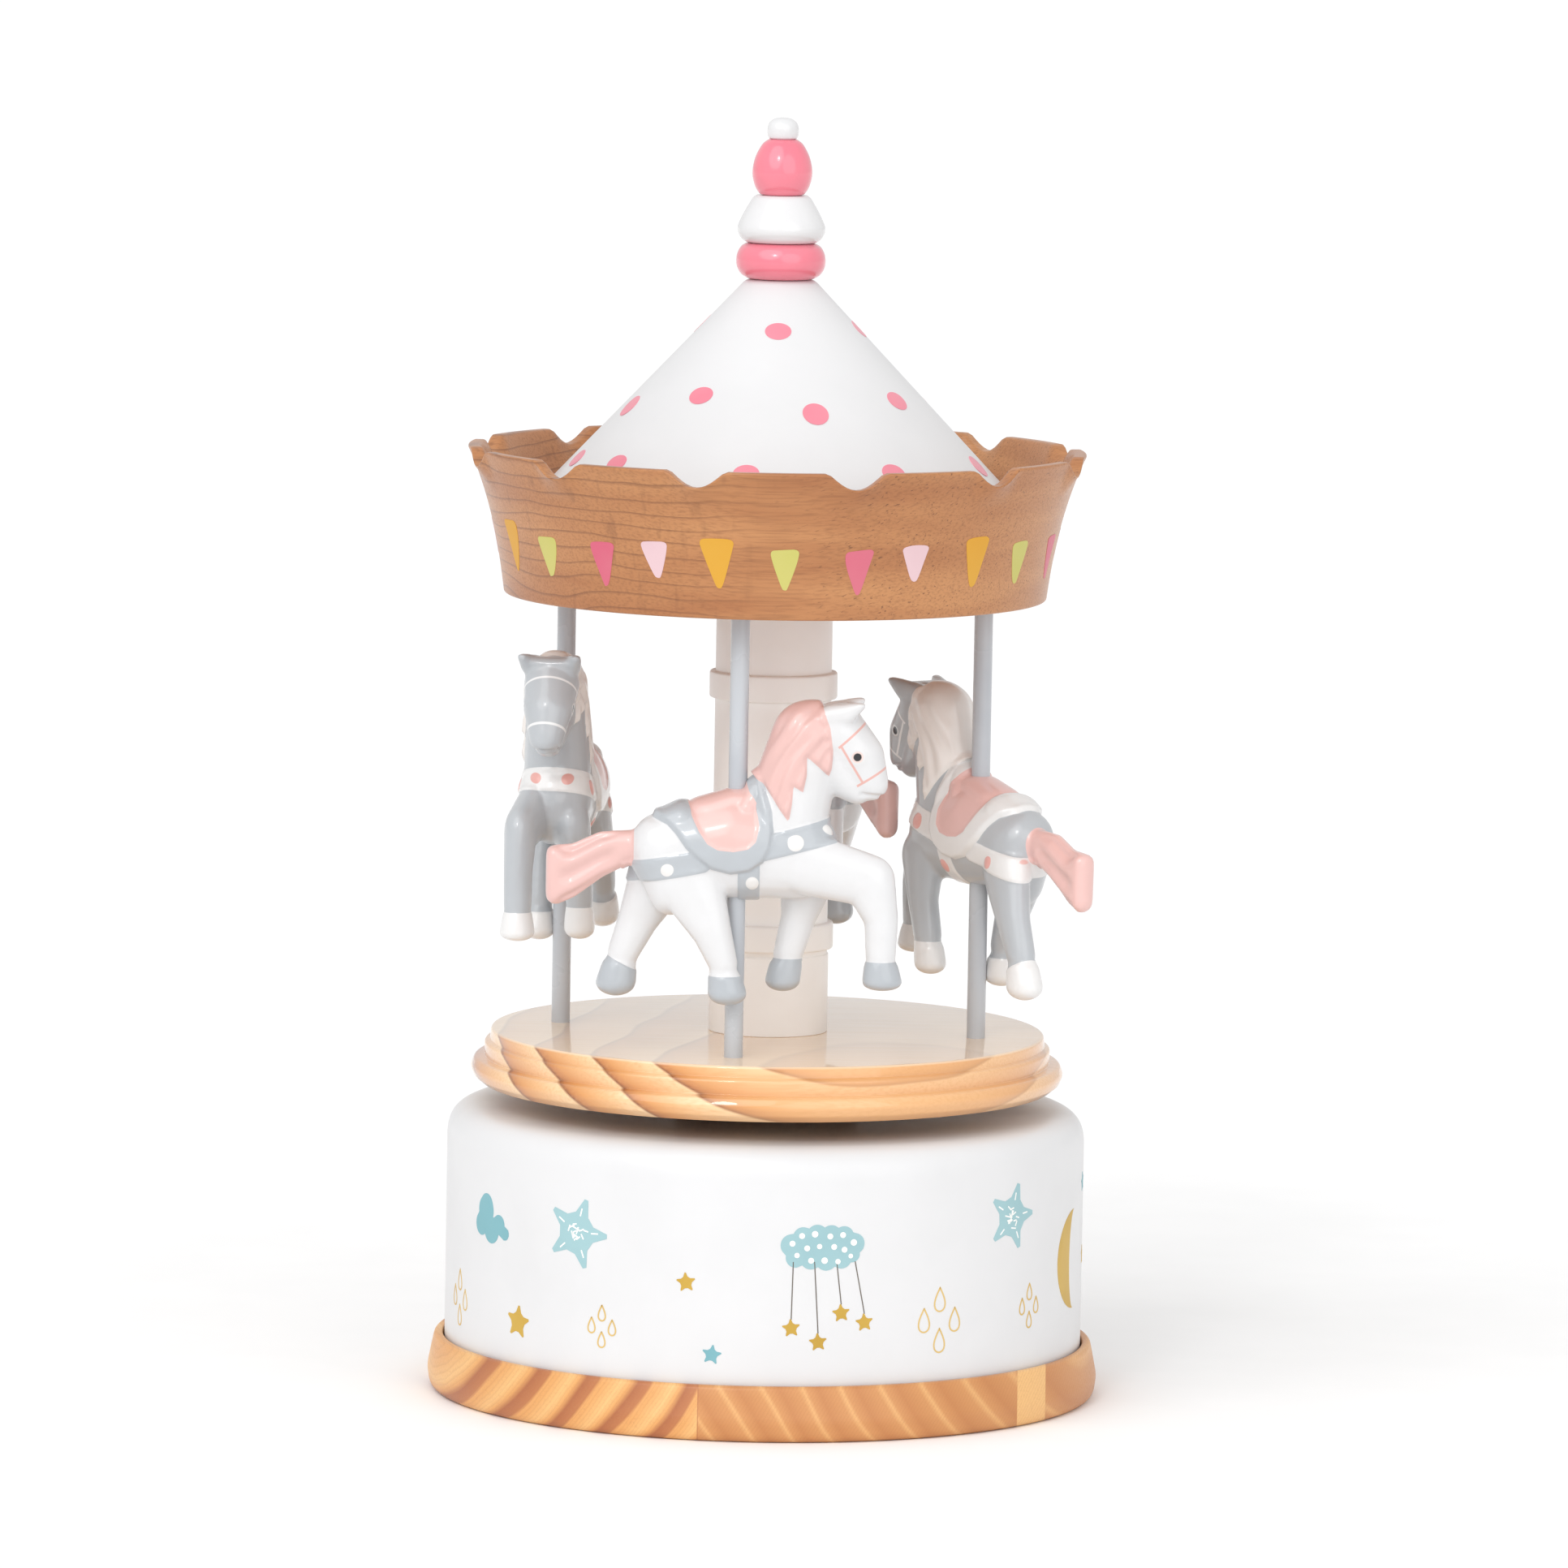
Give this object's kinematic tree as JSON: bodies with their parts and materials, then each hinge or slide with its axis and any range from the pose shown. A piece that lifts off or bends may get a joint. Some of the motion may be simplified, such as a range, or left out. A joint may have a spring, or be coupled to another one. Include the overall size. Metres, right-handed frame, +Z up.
{
  "type": "carousel music box",
  "caption": "Wooden carousel music box: four painted horses on poles between a deck and a scalloped crown turn on a drum that holds a comb-and-cylinder movement.",
  "frame": {"origin": "centre of the base, on the surface that it stands on", "axes": "+Z up along the spindle; -Y is the front; +X is to the right of the front"},
  "size_m": [0.1158, 0.1197, 0.22],
  "materials": {
    "pine": "laminated pine, satin oiled",
    "varnished_pine": "turned pine under gloss varnish",
    "beech": "turned beech, satin oiled",
    "white_lacquer": "white satin lacquer over wood",
    "white_gloss": "white gloss lacquer over a turned bead",
    "pink_gloss": "pink gloss lacquer over a turned bead",
    "pole_grey": "light blue-grey paint over a beech rod",
    "white_figure": "moulded resin, hand-painted white, pink and grey, glossy",
    "grey_figure": "moulded resin, hand-painted grey, white and pink, glossy",
    "black_plastic": "moulded black plastic",
    "fibreboard": "bare fibreboard",
    "brass": "machined brass",
    "steel": "bright steel",
    "spring_steel": "hardened and ground spring steel",
    "zinc": "cast zinc, dull nickel plate"
  },
  "bodies": {
    "base": {"base_ring": "pine", "drum_shell": "white_lacquer", "bottom_cover": "fibreboard", "cover_screw_1": "zinc", "cover_screw_2": "zinc", "cover_screw_3": "zinc", "cover_screw_4": "zinc", "bedplate": "zinc", "bedplate_screw_1": "steel", "bedplate_screw_2": "steel", "bedplate_screw_3": "steel", "spring_case": "brass", "mainspring": "spring_steel", "spindle_bush": "brass", "comb_block": "zinc", "comb": "spring_steel", "comb_screw_1": "steel", "comb_screw_2": "steel", "cylinder_bracket_inner": "steel", "cylinder_bracket_outer": "steel", "governor_frame": "steel"},
    "carousel": {"spindle": "steel", "crown_wheel": "brass", "turntable_hub": "black_plastic", "hub_screw_1": "steel", "hub_screw_2": "steel", "hub_screw_3": "steel", "deck": "varnished_pine", "column": "white_lacquer", "crown": "beech", "roof_cone": "white_lacquer", "finial_disc": "pink_gloss", "finial_bell": "white_gloss", "finial_egg": "pink_gloss", "finial_ball": "white_gloss", "finial_dowel": "pine", "pole_front": "pole_grey", "horse_front": "white_figure", "pole_right": "pole_grey", "horse_right": "grey_figure", "pole_back": "pole_grey", "horse_back": "white_figure", "pole_left": "pole_grey", "horse_left": "grey_figure"},
    "cylinder": {"pin_cylinder": "brass", "cylinder_arbor": "steel", "cylinder_pinion": "brass", "cylinder_wheel": "brass"},
    "governor_wheel": {"governor_arbor": "steel", "governor_pinion": "brass", "worm_wheel": "black_plastic"},
    "air_brake": {"worm_shaft": "steel", "air_brake_fan": "black_plastic"}
  },
  "joints": [
    {"name": "carousel_spin", "type": "hinge", "parent": "base", "child": "carousel", "pos_m": [0, 0, 0.0466], "axis": [0, 0, 1], "continuous": true},
    {"name": "cylinder_spin", "type": "hinge", "parent": "base", "child": "cylinder", "pos_m": [0.0251, 0, 0.02258], "axis": [1, 0, 0], "continuous": true},
    {"name": "governor_spin", "type": "hinge", "parent": "base", "child": "governor_wheel", "pos_m": [0.03445, 0.0125, 0.02258], "axis": [1, 0, 0], "continuous": true},
    {"name": "air_brake_spin", "type": "hinge", "parent": "base", "child": "air_brake", "pos_m": [0.0338, 0.0185, 0.02258], "axis": [0, 0, 1], "continuous": true}
  ],
  "couplings": [
    {"joint": "cylinder_spin", "follows": "carousel_spin", "ratio": -3},
    {"joint": "governor_spin", "follows": "carousel_spin", "ratio": 12},
    {"joint": "air_brake_spin", "follows": "carousel_spin", "ratio": -96}
  ]
}
